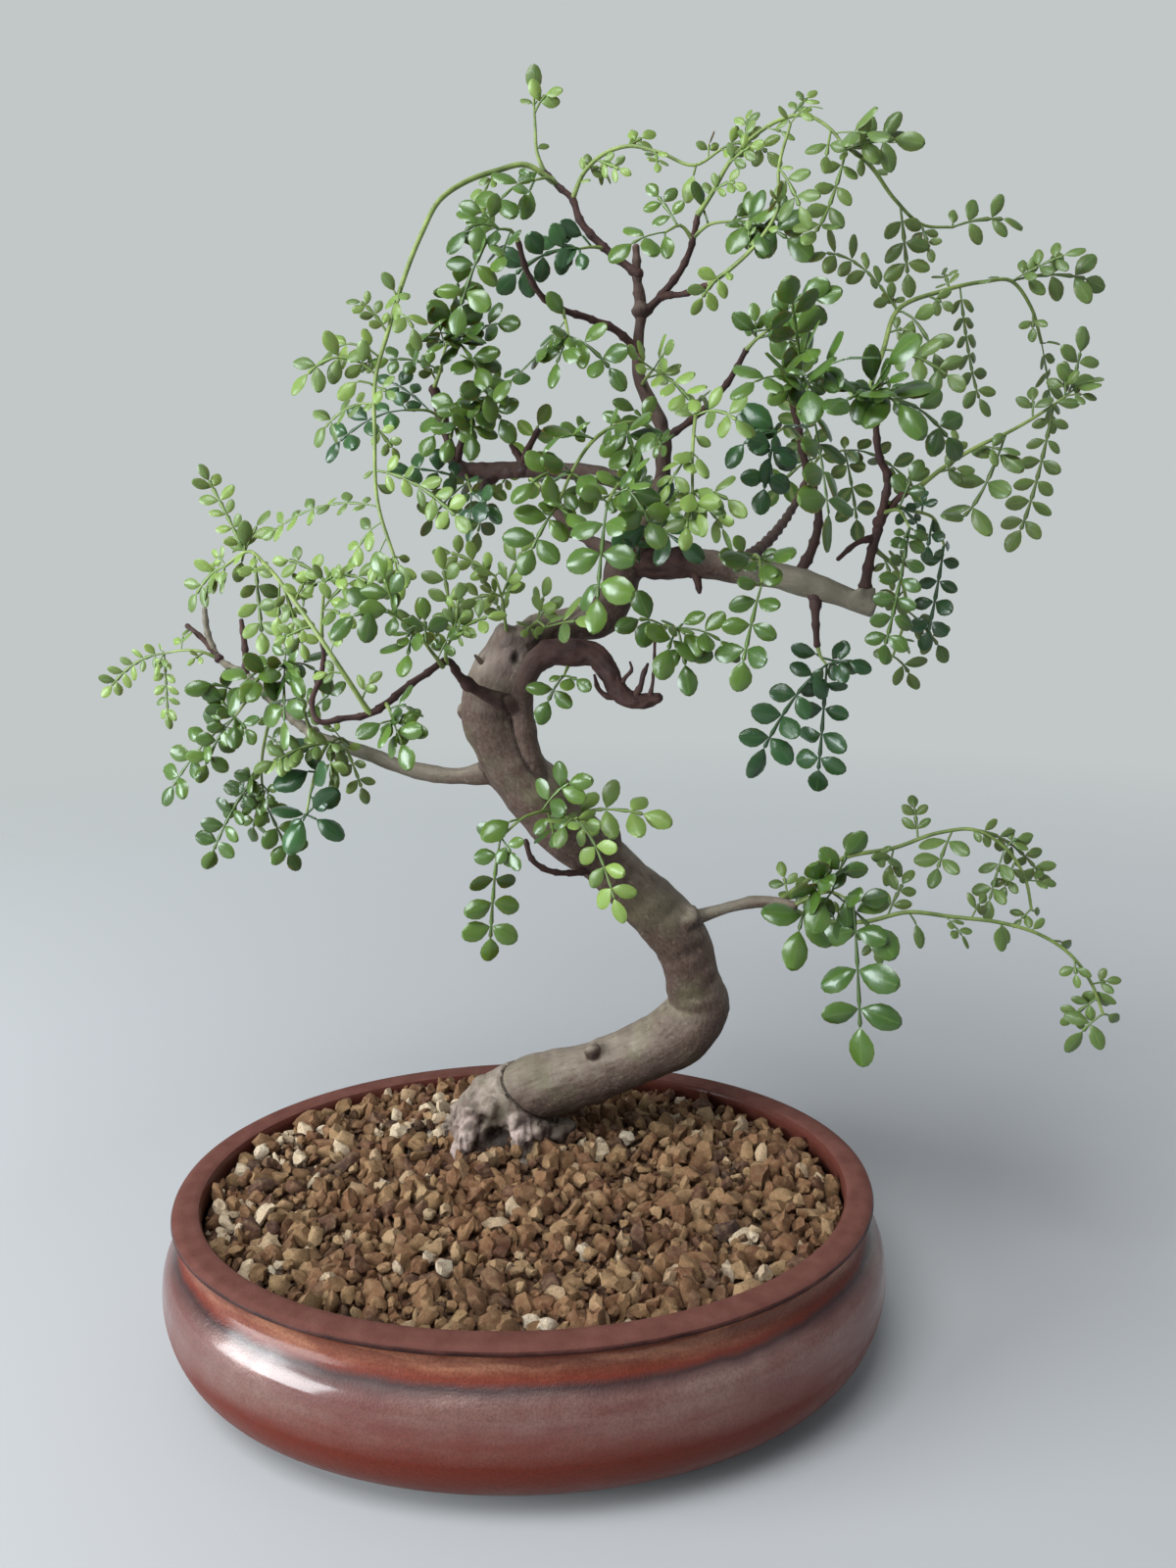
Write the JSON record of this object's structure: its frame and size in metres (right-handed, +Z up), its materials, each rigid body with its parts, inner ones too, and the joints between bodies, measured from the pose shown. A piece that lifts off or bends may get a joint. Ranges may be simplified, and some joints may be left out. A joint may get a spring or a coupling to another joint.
{
  "type": "japanese pepper bonsai",
  "caption": "Small indoor bonsai with a bent trunk and arching shoots of small paired leaflets, in granular soil in a low oval glazed pot.",
  "frame": {"origin": "centre of the pot's underside, on the plane that it stands on", "axes": "+X along the pot's length, to the right as the tree is seen from its front; -Y towards that front; +Z up"},
  "size_m": [0.376, 0.2139, 0.448],
  "materials": {
    "pot_glaze": "mottled red-brown glaze with a silvery sheen, matte pinkish rim top, copper brown band below it",
    "screen_plastic": "dark green moulded mesh",
    "soil_granules": "dry ochre baked clay granules with a few pale and dark ones",
    "bark": "smooth grey-brown bark with pale flecks and knobs, darker reddish twigs",
    "leaf_young": "yellow-green, soft gloss",
    "leaf_green": "mid green, glossy",
    "leaf_dark": "dark green, glossy"
  },
  "bodies": {
    "root": {"pot": "pot_glaze", "drain_screen_left": "screen_plastic", "drain_screen_right": "screen_plastic", "soil": "soil_granules", "trunk": "bark", "spray_top": "leaf_young", "spray_left_whip": "leaf_young", "spray_crest_left": "leaf_green", "spray_crest_drop": "leaf_green", "spray_crest_dark": "leaf_dark", "spray_top_arch": "leaf_young", "spray_right_whip": "leaf_young", "spray_right_loop": "leaf_young", "spray_crown_mid": "leaf_young", "spray_crown_right": "leaf_green", "spray_crown_left": "leaf_green", "spray_inner_drop": "leaf_green", "spray_left_crown": "leaf_green", "spray_left_crown_low": "leaf_green", "spray_left_arch": "leaf_dark", "spray_shelf_drop": "leaf_dark", "spray_centre_young": "leaf_young", "spray_centre_left": "leaf_green", "spray_front_drop": "leaf_green", "spray_centre_whip": "leaf_young", "spray_dark_rosette": "leaf_dark", "spray_fork_top": "leaf_green", "spray_front_fan": "leaf_green", "spray_fork_inner": "leaf_dark", "spray_branch_drop": "leaf_green", "spray_right_rosette": "leaf_green", "spray_right_arch": "leaf_young", "spray_far_right": "leaf_young", "spray_hanging_chain": "leaf_green", "spray_outer_chain": "leaf_dark", "spray_under_branch": "leaf_dark", "spray_under_right": "leaf_young", "spray_low_front": "leaf_green", "spray_low_left": "leaf_green", "spray_low_lip": "leaf_young", "spray_crown_base": "leaf_young", "spray_trunk_twig": "leaf_young", "spray_left_bright": "leaf_green", "spray_left_twig": "leaf_green", "spray_left_tall": "leaf_young", "spray_left_shoot": "leaf_young", "spray_left_outer": "leaf_young", "spray_left_hang": "leaf_green", "spray_left_fall": "leaf_green", "spray_left_heart": "leaf_green", "spray_left_drop": "leaf_dark", "spray_left_under": "leaf_young", "spray_trunk_front": "leaf_green", "spray_trunk_right": "leaf_young", "spray_low_right": "leaf_green", "spray_low_whip": "leaf_young", "spray_low_loop": "leaf_young", "spray_back_left": "leaf_green", "spray_back_right": "leaf_green"}
  },
  "joints": []
}
